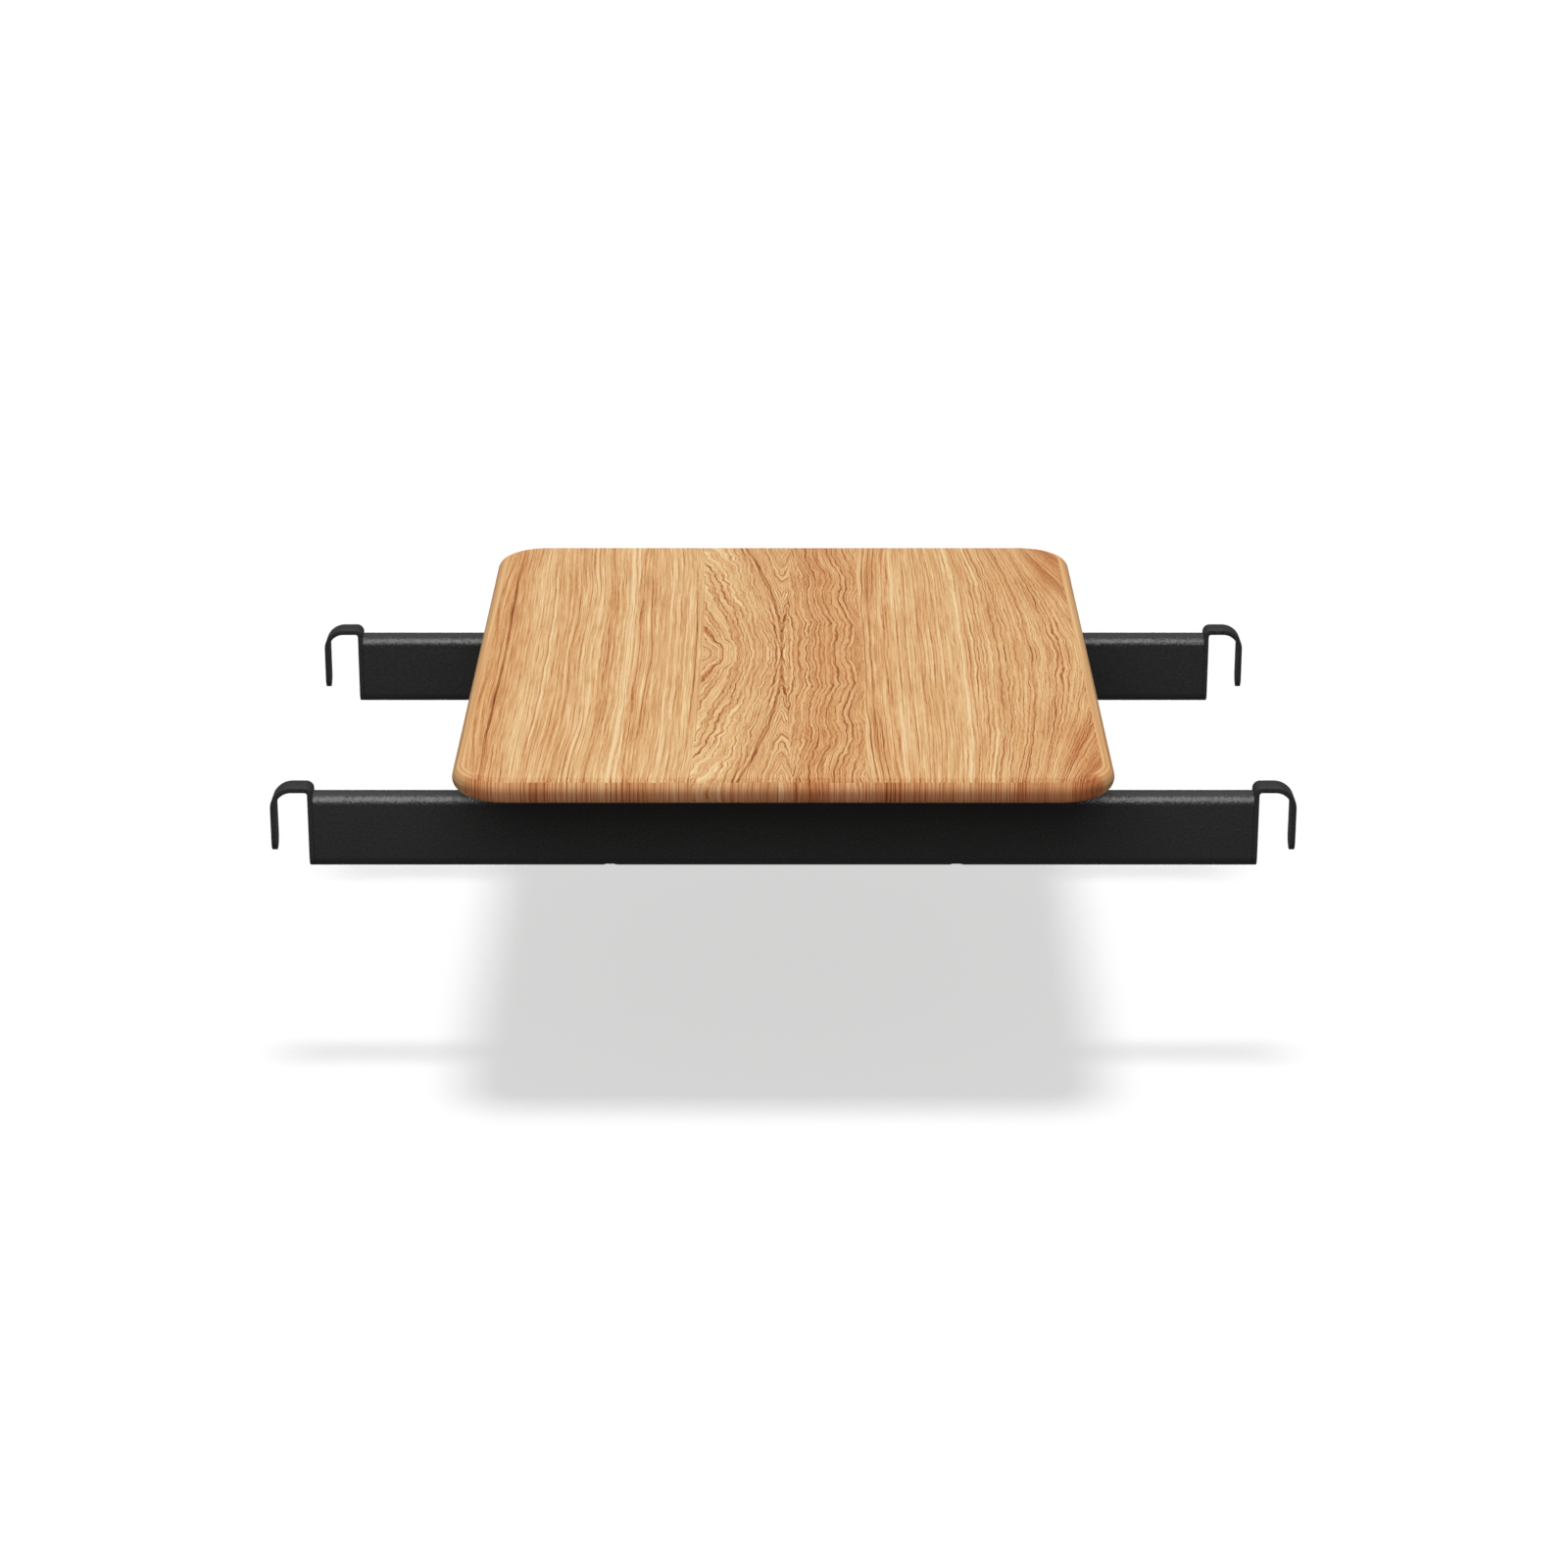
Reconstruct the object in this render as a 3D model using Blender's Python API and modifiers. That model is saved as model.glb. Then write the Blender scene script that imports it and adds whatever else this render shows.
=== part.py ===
"""Hook-on shelf: a wooden deck carried by two steel rails that hang between two host tubes.

Frame: +X runs along the rails, +Y to the back, +Z up. The origin is under the middle of the deck,
at the height of the rails' lowest line, so the shelf can also stand on a floor.
Metres throughout.
"""

import math

import bmesh
import bpy

# ---- Driving dimensions -------------------------------------------------------------------------

# Fits
CONTACT_GAP = 0.0003        # air left between two pieces that touch
WELD = 0.00001              # distance at which doubled points become one

# Deck: one glued-up oak panel with a full bullnose all round
DECK_WIDTH = 0.5275         # along X
DECK_DEPTH = 0.655          # along Y, the way the grain runs
DECK_THICKNESS = 0.020
DECK_CORNER_RADIUS = 0.045
DECK_LIFT = 0.0289          # air between a rail's top and the deck's underside

# Rails: flat-oval tube standing on edge
TUBE_LENGTH = 0.767
TUBE_HEIGHT = 0.064
TUBE_DEPTH = 0.020
TUBE_WALL = 0.0015
RAIL_PITCH = 0.4226         # between the two rails' centre lines

# Hooks: flat bar, bent twice, closing a rail's end and reaching over the host tube
BAR_THICKNESS = 0.004
THROAT_WIDTH = 0.0266       # takes a 25 mm host tube
SEAT_RISE = 0.0013          # hook's underside above the rail's top
INNER_BEND = 0.0022         # inside radius of the bend over the rail's end
OUTER_BEND = 0.0136         # inside radius of the bend over the host tube
LEG_TIP_HEIGHT = 0.0134     # lowest point of the free leg above the rail's lowest line
BAR_EDGE_BREAK = 0.0004     # chamfer on the bar's edges

# Posts: turned sleeves through the rails, which carry the deck
POST_SPACING = 0.284        # between the two posts of one rail
POST_DIAMETER = 0.014
POST_FOOT_RECESS = 0.0025   # post's foot above the rail's lowest line
FLANGE_DIAMETER = 0.030
FLANGE_THICKNESS = 0.003
HEAD_RECESS_DEPTH = 0.0109  # counterbore for the bolt's head

# Bolts: M6 socket-head cap screws
BOLT_DIAMETER = 0.006
BOLT_LENGTH = 0.090         # under the head
BOLT_HEAD_DIAMETER = 0.010
BOLT_HEAD_HEIGHT = 0.006
BOLT_END_CHAMFER = 0.0006
HEX_ACROSS_FLATS = 0.005
HEX_DEPTH = 0.003

# Inserts: threaded bushes sunk into the deck's underside
INSERT_DIAMETER = 0.010
INSERT_LENGTH = 0.012
POCKET_SPARE_DEPTH = 0.001  # air over an insert

# Facets
TUBE_CROWN_STEPS = 20       # along half a turn
CORNER_STEPS = 12           # along one corner of the deck
NOSE_RESOLUTION = 5
BEND_STEPS = 12             # along a quarter turn
TIP_STEPS = 8               # along a quarter turn of a full-round end
TURNED_STEPS = 28
OVERSHOOT = 0.004           # how far a cutter passes what it cuts

# ---- Places that follow from them ---------------------------------------------------------------

NOSE_RADIUS = DECK_THICKNESS / 2
DECK_UNDERSIDE = TUBE_HEIGHT + DECK_LIFT
SEAT_HEIGHT = TUBE_HEIGHT + SEAT_RISE
PLATE_INNER_FACE = TUBE_LENGTH / 2 + CONTACT_GAP
POST_TOP = DECK_UNDERSIDE - CONTACT_GAP
HEAD_SEAT = POST_FOOT_RECESS + HEAD_RECESS_DEPTH
BORE_RADIUS = BOLT_DIAMETER / 2 + CONTACT_GAP

RAIL_PLACES = {"front": -RAIL_PITCH / 2, "rear": RAIL_PITCH / 2}
SIDE_PLACES = {"left": -POST_SPACING / 2, "right": POST_SPACING / 2}

# Colours are linear RGB
OAK = (0.665, 0.366, 0.165, 1.0)
POWDER_BLACK = (0.019, 0.019, 0.019, 1.0)
BLACK_OXIDE = (0.045, 0.045, 0.048, 1.0)
BRASS = (0.62, 0.43, 0.17, 1.0)


# ---- Scene, collections and materials -----------------------------------------------------------

def clear_scene():
    for thing in list(bpy.data.objects):
        bpy.data.objects.remove(thing)


def new_collection(name):
    group = bpy.data.collections.new(name)
    bpy.context.scene.collection.children.link(group)
    return group


def finish(name, colour, roughness, metallic):
    material = bpy.data.materials.new(name)
    material.use_nodes = True
    shader = material.node_tree.nodes["Principled BSDF"]
    shader.inputs["Base Color"].default_value = colour
    shader.inputs["Roughness"].default_value = roughness
    shader.inputs["Metallic"].default_value = metallic
    material.diffuse_color = colour
    return material


def add_object(name, data, group, material=None):
    thing = bpy.data.objects.new(name, data)
    group.objects.link(thing)
    if material:
        data.materials.append(material)
    return thing


# ---- Shapes -------------------------------------------------------------------------------------

def arc(centre, radius, start, end, steps):
    """Points on a circle from one angle to another, both ends included; angles in degrees."""
    points = []
    for step in range(steps + 1):
        angle = math.radians(start + (end - start) * step / steps)
        points.append((centre[0] + radius * math.cos(angle), centre[1] + radius * math.sin(angle)))
    return points


def rounded_rectangle(width, height, radius, steps):
    """Outline of a rectangle with round corners, counter-clockwise about the origin."""
    right = width / 2 - radius
    top = height / 2 - radius
    outline = []
    for turn, (x, y) in enumerate([(right, top), (-right, top), (-right, -top), (right, -top)]):
        outline += arc((x, y), radius, 90 * turn, 90 * turn + 90, steps)
    return outline


def flat_oval(width, height, steps):
    """Outline of an upright slot shape: two half circles joined by straight sides."""
    radius = width / 2
    rise = height / 2 - radius
    return arc((0, rise), radius, 0, 180, steps) + arc((0, -rise), radius, 180, 360, steps)


def outline_curve(name, outlines, half_thickness, nose=0.0, nose_resolution=0):
    """A filled flat curve in the XY plane, thickened along Z, with an optional rounded edge."""
    curve = bpy.data.curves.new(name, "CURVE")
    curve.dimensions = "2D"
    curve.fill_mode = "BOTH"
    curve.extrude = half_thickness
    curve.bevel_depth = nose
    curve.bevel_resolution = nose_resolution
    for points in outlines:
        spline = curve.splines.new("POLY")
        spline.points.add(len(points) - 1)
        for point, (x, y) in zip(spline.points, points):
            point.co = (x, y, 0.0, 1.0)
        spline.use_cyclic_u = True
    return curve


def meshed(curve_object, group, material):
    """The same shape as a welded mesh, in the same place; the curve is removed."""
    bpy.context.view_layer.update()
    graph = bpy.context.evaluated_depsgraph_get()
    mesh = bpy.data.meshes.new_from_object(curve_object.evaluated_get(graph))
    shape = bmesh.new()
    shape.from_mesh(mesh)
    bmesh.ops.remove_doubles(shape, verts=shape.verts, dist=WELD)
    shape.to_mesh(mesh)
    shape.free()
    name = curve_object.name
    place = curve_object.matrix_world.copy()
    bpy.data.objects.remove(curve_object)
    mesh.materials.clear()
    solid = add_object(name, mesh, group, material)
    solid.matrix_world = place
    return solid


def smooth(solid, sharp_above=30):
    solid.data.shade_smooth()
    solid.data.set_sharp_from_angle(angle=math.radians(sharp_above))


def cylinder_cutter(name, radius, bottom, top, place, group, segments):
    """An upright round cutter between two heights, at an (x, y) place."""
    shape = bmesh.new()
    bmesh.ops.create_cone(shape, cap_ends=True, segments=segments, radius1=radius, radius2=radius,
                          depth=top - bottom)
    mesh = bpy.data.meshes.new(name)
    shape.to_mesh(mesh)
    shape.free()
    cutter = add_object(name, mesh, group)
    cutter.location = (place[0], place[1], (top + bottom) / 2)
    cutter.hide_render = True
    cutter.display_type = "WIRE"
    return cutter


def cut(solid, cutter):
    boolean = solid.modifiers.new("cut by " + cutter.name, "BOOLEAN")
    boolean.operation = "DIFFERENCE"
    boolean.solver = "EXACT"
    boolean.object = cutter


def turned(name, profile, closed, group, material):
    """A shape turned about Z from (radius, height) points that run down its outer side."""
    mesh = bpy.data.meshes.new(name)
    count = len(profile)
    edges = [(index, index + 1) for index in range(count - 1)]
    if closed:
        edges.append((count - 1, 0))
    mesh.from_pydata([(radius, 0.0, height) for radius, height in profile], edges, [])
    solid = add_object(name, mesh, group, material)
    screw = solid.modifiers.new("turn", "SCREW")
    screw.axis = "Z"
    screw.angle = math.tau
    screw.steps = TURNED_STEPS
    screw.render_steps = TURNED_STEPS
    screw.use_merge_vertices = True
    screw.merge_threshold = WELD
    screw.use_smooth_shade = True
    return solid


# ---- Deck ---------------------------------------------------------------------------------------

def make_deck(parts, cutters, oak):
    """The panel, with a blind pocket in its underside over each post."""
    outline = rounded_rectangle(DECK_WIDTH - 2 * NOSE_RADIUS, DECK_DEPTH - 2 * NOSE_RADIUS,
                                DECK_CORNER_RADIUS - NOSE_RADIUS, CORNER_STEPS)
    curve = outline_curve("deck", [outline], 0.0, NOSE_RADIUS, NOSE_RESOLUTION)
    blank = add_object("deck", curve, parts)
    blank.location = (0, 0, DECK_UNDERSIDE + NOSE_RADIUS)
    deck = meshed(blank, parts, oak)
    pocket_radius = INSERT_DIAMETER / 2 + CONTACT_GAP
    pocket_top = DECK_UNDERSIDE + INSERT_LENGTH + POCKET_SPARE_DEPTH
    for rail, y in RAIL_PLACES.items():
        for side, x in SIDE_PLACES.items():
            name = f"{rail}_{side}_pocket_cutter"
            cut(deck, cylinder_cutter(name, pocket_radius, DECK_UNDERSIDE - OVERSHOOT, pocket_top,
                                      (x, y), cutters, TURNED_STEPS))
    smooth(deck)


# ---- Rails --------------------------------------------------------------------------------------

def make_rail(rail, y, parts, cutters, coat):
    """A flat-oval tube along X, open at its ends, with a hole through both crowns at each post."""
    walls = [flat_oval(TUBE_DEPTH, TUBE_HEIGHT, TUBE_CROWN_STEPS),
             flat_oval(TUBE_DEPTH - 2 * TUBE_WALL, TUBE_HEIGHT - 2 * TUBE_WALL, TUBE_CROWN_STEPS)]
    blank = add_object(f"{rail}_rail", outline_curve(f"{rail}_rail", walls, TUBE_LENGTH / 2), parts)
    blank.location = (0, y, TUBE_HEIGHT / 2)
    blank.rotation_euler = (math.pi / 2, 0, math.pi / 2)
    tube = meshed(blank, parts, coat)
    for side, x in SIDE_PLACES.items():
        name = f"{rail}_{side}_post_hole_cutter"
        radius = POST_DIAMETER / 2 + CONTACT_GAP
        cut(tube, cylinder_cutter(name, radius, -OVERSHOOT, TUBE_HEIGHT + OVERSHOOT, (x, y),
                                  cutters, TURNED_STEPS))
    smooth(tube)


# ---- Hooks --------------------------------------------------------------------------------------

def bar_centre_line():
    """Points (x, z) down the middle of the bar: up the rail's end, over the host tube, down the leg."""
    half = BAR_THICKNESS / 2
    plate = PLATE_INNER_FACE + half
    leg = PLATE_INNER_FACE + BAR_THICKNESS + THROAT_WIDTH + half
    bridge = SEAT_HEIGHT + half
    inner = INNER_BEND + half
    outer = OUTER_BEND + half
    line = arc((plate + inner, bridge - inner), inner, 180, 90, BEND_STEPS)
    line += arc((leg - outer, bridge - outer), outer, 90, 0, BEND_STEPS)
    return [(plate, 0.0)] + line + [(leg, LEG_TIP_HEIGHT)]


def full_round_end(height, x, radius, upwards):
    """Stations (x, z, half width) that round a bar's end off to one point at its lowest height."""
    stations = []
    for step in range(TIP_STEPS + 1):
        angle = math.pi / 2 * step / TIP_STEPS
        stations.append((x, height + radius * (1 - math.cos(angle)), radius * math.sin(angle)))
    return stations if upwards else stations[::-1]


def make_hook(name, y, turned_round, parts, coat):
    """A flat bar as wide as the rail is deep, with both ends fully rounded."""
    half_width = TUBE_DEPTH / 2
    line = bar_centre_line()
    stations = full_round_end(line[0][1], line[0][0], half_width, True)
    stations += [(x, z, half_width) for x, z in line[1:-1]]
    stations += full_round_end(line[-1][1], line[-1][0], half_width, False)
    shape = bmesh.new()
    rows = []
    for x, z, spread in stations:
        offsets = [0.0] if spread < WELD else [-spread, spread]
        rows.append([shape.verts.new((x, offset, z)) for offset in offsets])
    for low, high in zip(rows, rows[1:]):
        shape.faces.new(low + high[::-1])
    mesh = bpy.data.meshes.new(name)
    shape.to_mesh(mesh)
    shape.free()
    hook = add_object(name, mesh, parts, coat)
    hook.location = (0, y, 0)
    hook.rotation_euler = (0, 0, math.pi if turned_round else 0)
    wall = hook.modifiers.new("bar thickness", "SOLIDIFY")
    wall.thickness = BAR_THICKNESS
    wall.offset = 0.0
    wall.use_even_offset = True
    chamfer = hook.modifiers.new("broken edges", "BEVEL")
    chamfer.width = BAR_EDGE_BREAK
    chamfer.segments = 1
    chamfer.limit_method = "ANGLE"
    chamfer.angle_limit = math.radians(40)
    smooth(hook)


# ---- Posts, bolts and inserts -------------------------------------------------------------------

def make_post(name, place, parts, coat):
    """A sleeve through the rail, with a flange under the deck and a recess for the bolt's head."""
    body = POST_DIAMETER / 2
    flange = FLANGE_DIAMETER / 2
    recess = BOLT_HEAD_DIAMETER / 2 + CONTACT_GAP
    shoulder = POST_TOP - FLANGE_THICKNESS
    profile = [(flange, POST_TOP), (flange, shoulder), (body, shoulder), (body, POST_FOOT_RECESS),
               (recess, POST_FOOT_RECESS), (recess, HEAD_SEAT), (BORE_RADIUS, HEAD_SEAT),
               (BORE_RADIUS, POST_TOP)]
    post = turned(name, profile, True, parts, coat)
    post.location = (place[0], place[1], 0)


def make_bolt(name, place, parts, cutters, steel):
    """A cap screw, head down, with a hexagon socket."""
    under_head = HEAD_SEAT - CONTACT_GAP
    foot = under_head - BOLT_HEAD_HEIGHT
    tip = under_head + BOLT_LENGTH
    shank = BOLT_DIAMETER / 2
    head = BOLT_HEAD_DIAMETER / 2
    profile = [(0, tip), (shank - BOLT_END_CHAMFER, tip), (shank, tip - BOLT_END_CHAMFER),
               (shank, under_head), (head, under_head), (head, foot + BOLT_END_CHAMFER),
               (head - BOLT_END_CHAMFER, foot), (0, foot)]
    bolt = turned(name, profile, False, parts, steel)
    bolt.location = (place[0], place[1], 0)
    corner_radius = HEX_ACROSS_FLATS / math.sqrt(3)
    socket = cylinder_cutter(name + "_socket_cutter", corner_radius, foot - OVERSHOOT,
                             foot + HEX_DEPTH, place, cutters, 6)
    cut(bolt, socket)


def make_insert(name, place, parts, brass):
    """A plain bush, flush with the deck's underside."""
    outer = INSERT_DIAMETER / 2
    top = DECK_UNDERSIDE + INSERT_LENGTH
    profile = [(outer, top), (outer, DECK_UNDERSIDE), (BORE_RADIUS, DECK_UNDERSIDE),
               (BORE_RADIUS, top)]
    bush = turned(name, profile, True, parts, brass)
    bush.location = (place[0], place[1], 0)


# ---- Assembly -----------------------------------------------------------------------------------

def build():
    clear_scene()
    parts = new_collection("hook_on_shelf")
    cutters = new_collection("cutters")
    oak = finish("oiled oak", OAK, 0.5, 0.0)
    coat = finish("black powder coat", POWDER_BLACK, 0.55, 0.0)
    steel = finish("black oxide steel", BLACK_OXIDE, 0.4, 1.0)
    brass = finish("brass", BRASS, 0.35, 1.0)
    make_deck(parts, cutters, oak)
    for rail, y in RAIL_PLACES.items():
        make_rail(rail, y, parts, cutters, coat)
        for side, x in SIDE_PLACES.items():
            corner = f"{rail}_{side}"
            make_hook(f"{corner}_hook", y, side == "left", parts, coat)
            make_post(f"{corner}_post", (x, y), parts, coat)
            make_bolt(f"{corner}_bolt", (x, y), parts, cutters, steel)
            make_insert(f"{corner}_insert", (x, y), parts, brass)


build()
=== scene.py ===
# %% [markdown]
# # A hook-on shelf: oak deck, black steel rails
#
# The shelf hangs between two tubes. An oak deck with a fully rounded edge stands on four short
# posts, the posts pass through two flat-oval steel rails, and each end of a rail carries a bent
# flat bar that hooks over a host tube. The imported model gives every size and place. This script
# makes the surfaces a customer sees: the smooth nose of the deck, the bent bars, the turned posts,
# the grain of the oak and the fine texture of the powder coat.

import math

import bmesh
import bpy
from mathutils import Matrix, Vector


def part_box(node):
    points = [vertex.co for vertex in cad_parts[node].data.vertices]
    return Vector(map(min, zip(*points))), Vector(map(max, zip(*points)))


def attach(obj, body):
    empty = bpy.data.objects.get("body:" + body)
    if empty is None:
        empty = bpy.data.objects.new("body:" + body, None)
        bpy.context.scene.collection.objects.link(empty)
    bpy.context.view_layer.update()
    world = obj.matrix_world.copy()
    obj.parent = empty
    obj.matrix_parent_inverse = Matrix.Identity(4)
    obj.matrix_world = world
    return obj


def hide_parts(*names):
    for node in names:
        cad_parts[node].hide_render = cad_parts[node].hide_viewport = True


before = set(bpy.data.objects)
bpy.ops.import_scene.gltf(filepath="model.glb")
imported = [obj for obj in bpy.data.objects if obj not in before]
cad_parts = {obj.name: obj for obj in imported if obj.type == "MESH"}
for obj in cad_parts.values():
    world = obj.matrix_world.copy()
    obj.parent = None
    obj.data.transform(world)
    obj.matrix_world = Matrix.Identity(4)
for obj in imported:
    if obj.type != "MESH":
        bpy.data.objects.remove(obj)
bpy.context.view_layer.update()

# %% [markdown]
# ## Sizes
#
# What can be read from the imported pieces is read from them, so that the looks always fit. Only
# radii, walls and inner steps, which a box doesn't show, are written here again.

# %% Sizes
MM = 0.001
RAILS = ("front", "rear")
SIDES = ("left", "right")
CORNERS = [f"{rail}_{side}" for rail in RAILS for side in SIDES]

DECK_CORNER_RADIUS = 45 * MM
TUBE_WALL = 1.5 * MM
BAR_THICKNESS = 4 * MM
BAR_EDGE_RADIUS = 0.5 * MM
INNER_BEND = 2.2 * MM
OUTER_BEND = 13.6 * MM
LEG_TIP_HEIGHT = 13.4 * MM
FLANGE_THICKNESS = 3 * MM
FLANGE_REACH = 8 * MM           # how far a post's flange stands out from its body
BOLT_DIAMETER = 6 * MM
BOLT_HEAD_HEIGHT = 6 * MM
POCKET_SPARE_DEPTH = 1 * MM     # air over an insert
CONTACT_GAP = 0.3 * MM          # air left between two pieces that touch
WELD_DISTANCE = 0.01 * MM       # doubled points closer than this become one


def middle(node):
    low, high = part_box(node)
    return (low + high) / 2


def extent(node):
    low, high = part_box(node)
    return high - low


deck_size = extent("deck")
tube_size = extent("front_rail")
post_size = extent("front_left_post")
insert_size = extent("front_left_insert")
post_spacing = middle("front_right_post").x - middle("front_left_post").x
rail_pitch = middle("rear_rail").y - middle("front_rail").y
print("deck", [round(v / MM, 1) for v in deck_size], "rail", [round(v / MM, 1) for v in tube_size])

# %% [markdown]
# ## The camera
#
# The shelf is seen from straight in front and about twenty degrees above, through a long lens, so
# the far rail looks only a little shorter than the near one. The lens isn't shifted: the camera
# can then walk round the shelf and keep it in the middle.

# %% Camera
CAMERA_PLACE = Vector((0.0006, -3.3458, 1.1991))
CAMERA_PITCH = math.radians(19.814)
FOCAL_LENGTH_MM = 93.78
SENSOR_MM = 36.0


def add_camera():
    data = bpy.data.cameras.new("camera")
    data.lens = FOCAL_LENGTH_MM
    data.sensor_width = SENSOR_MM
    data.clip_start = 0.05
    data.clip_end = 100.0
    camera = bpy.data.objects.new("camera", data)
    camera.location = CAMERA_PLACE
    camera.rotation_euler = (math.pi / 2 - CAMERA_PITCH, 0.0, 0.0)
    bpy.context.scene.collection.objects.link(camera)
    bpy.context.scene.camera = camera
    return camera


camera = add_camera()
print("camera", [round(v, 3) for v in camera.location], "lens", FOCAL_LENGTH_MM, "mm")

# %% [markdown]
# ## Shader maths as Python
#
# A wood grain is mostly arithmetic on coordinates. Wiring it by hand would bury the idea, so a
# small class wraps a socket: an expression such as `1 - mask * 0.5` adds the Math nodes by itself.
# Every other node comes from one method, which sets the node's own settings first and then fills
# its sockets with numbers or links.

# %% Shader helper


class Value:
    """A number on a node's output. Arithmetic on it adds Math nodes to its material."""

    def __init__(self, graph, socket):
        self.graph = graph
        self.socket = socket

    def maths(self, operation, *values):
        return self.graph.node("ShaderNodeMath", {"operation": operation}, *values)[0]

    def __add__(self, other):
        return self.maths("ADD", self, other)

    def __radd__(self, other):
        return self.maths("ADD", other, self)

    def __sub__(self, other):
        return self.maths("SUBTRACT", self, other)

    def __rsub__(self, other):
        return self.maths("SUBTRACT", other, self)

    def __mul__(self, other):
        return self.maths("MULTIPLY", self, other)

    def __rmul__(self, other):
        return self.maths("MULTIPLY", other, self)

    def __truediv__(self, other):
        return self.maths("DIVIDE", self, other)

    def __rtruediv__(self, other):
        return self.maths("DIVIDE", other, self)

    def __neg__(self):
        return self.maths("MULTIPLY", self, -1.0)

    def __abs__(self):
        return self.maths("ABSOLUTE", self)

    def __gt__(self, other):
        return self.maths("GREATER_THAN", self, other)

    def __lt__(self, other):
        return self.maths("LESS_THAN", self, other)

    def floor(self):
        return self.maths("FLOOR", self)

    def fraction(self):
        return self.maths("FRACT", self)

    def power(self, exponent):
        return self.maths("POWER", self, exponent)

    def smaller(self, other):
        return self.maths("MINIMUM", self, other)

    def larger(self, other):
        return self.maths("MAXIMUM", self, other)

    def root(self):
        return self.maths("SQRT", self)


class Graph:
    """A material's nodes."""

    def __init__(self, name):
        self.material = bpy.data.materials.new(name)
        self.material.use_nodes = True
        self.tree = self.material.node_tree
        self.shader = self.tree.nodes["Principled BSDF"]

    def node(self, kind, settings, *positional, **named):
        """Adds a node. Settings are set first, then the sockets, by place or by name."""
        made = self.tree.nodes.new(kind)
        for key, value in settings.items():
            if key == "stops":
                self.set_stops(made.color_ramp, value)
            else:
                setattr(made, key, value)
        for index, value in enumerate(positional):
            self.feed(made.inputs[index], value)
        for key, value in named.items():
            self.feed(self.enabled(made.inputs, key.replace("_", " ")), value)
        return [Value(self, socket) for socket in made.outputs if socket.enabled]

    @staticmethod
    def enabled(sockets, name):
        return next(s for s in sockets if s.enabled and s.name.lower() == name.lower())

    @staticmethod
    def set_stops(ramp, stops):
        while len(ramp.elements) < len(stops):
            ramp.elements.new(0.5)
        for element, (place, colour) in zip(ramp.elements, stops):
            element.position = place
            element.color = colour

    def feed(self, socket, value):
        if isinstance(value, Value):
            self.tree.links.new(value.socket, socket)
        else:
            socket.default_value = value

    def place(self):
        """Object coordinates in millimetres, as three numbers."""
        coordinates = self.node("ShaderNodeTexCoord", {})[3]
        scaled = self.node("ShaderNodeVectorMath", {"operation": "SCALE"}, coordinates, Scale=1 / MM)[0]
        return self.node("ShaderNodeSeparateXYZ", {}, scaled)

    def vector(self, x, y, z):
        return self.node("ShaderNodeCombineXYZ", {}, x, y, z)[0]

    def noise(self, vector, scale=1.0, detail=2.0, roughness=0.5):
        return self.node("ShaderNodeTexNoise", {"noise_dimensions": "3D"}, Vector=vector, Scale=scale,
                         Detail=detail, Roughness=roughness)[0]

    def maths_of(self, operation, *values):
        return self.node("ShaderNodeMath", {"operation": operation}, *values)[0]

    def random(self, number):
        return self.node("ShaderNodeTexWhiteNoise", {"noise_dimensions": "1D"}, W=number)[0]

    def ease(self, value, low, high, start=0.0, end=1.0):
        """Goes smoothly from start to end as value goes from low to high."""
        return self.node("ShaderNodeMapRange", {"interpolation_type": "SMOOTHSTEP"}, value, low, high,
                         start, end)[0]

    def ramp(self, value, stops):
        return self.node("ShaderNodeValToRGB", {"stops": stops}, value)[0]

    def blend(self, factor, first, second, kind="MIX"):
        """Mixes two colours."""
        made = self.tree.nodes.new("ShaderNodeMix")
        made.data_type = "RGBA"
        made.blend_type = kind
        for name, value in (("Factor", factor), ("A", first), ("B", second)):
            self.feed(self.enabled(made.inputs, name), value)
        return Value(self, self.enabled(made.outputs, "Result"))

    def bump(self, height, distance, strength=1.0):
        return self.node("ShaderNodeBump", {}, Strength=strength, Distance=distance, Height=height)[0]

    def set(self, **values):
        for key, value in values.items():
            self.feed(self.shader.inputs[key.replace("_", " ")], value)


def tint(red, green, blue):
    """A colour given in display values from 0 to 255, as linear light with alpha."""
    linear = []
    for value in (red, green, blue):
        share = value / 255
        linear.append(share / 12.92 if share <= 0.04045 else ((share + 0.055) / 1.055) ** 2.4)
    return (*linear, 1.0)


print("shader helper ready")

# %% [markdown]
# ## Oak
#
# The deck is glued up from staves whose growth rings run from front to back. Where the saw met
# the rings upright, the lines stay straight. Where it met them flat, they bow into nested arches
# that are widest at the middle of the board. So the finish starts from one number, the ring
# coordinate: the distance across the stave, bent by that stave's own arch and shaken by slow and
# quick noise. Lines along which it stays the same are the grain. It is worked out in space, so the
# same rings show on the top and, cut across, on the nose.

# %% Oak: the ring coordinate
DECK_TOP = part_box("deck")[1].z / MM
NOSE = deck_size.z / 2 / MM
HALF_WIDTH = deck_size.x / 2 / MM
HALF_DEPTH = deck_size.y / 2 / MM
SECOND_STAVE, THIRD_STAVE, FOURTH_STAVE = 100.0, 300.0, 500.0      # keep the staves' rings apart


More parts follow.
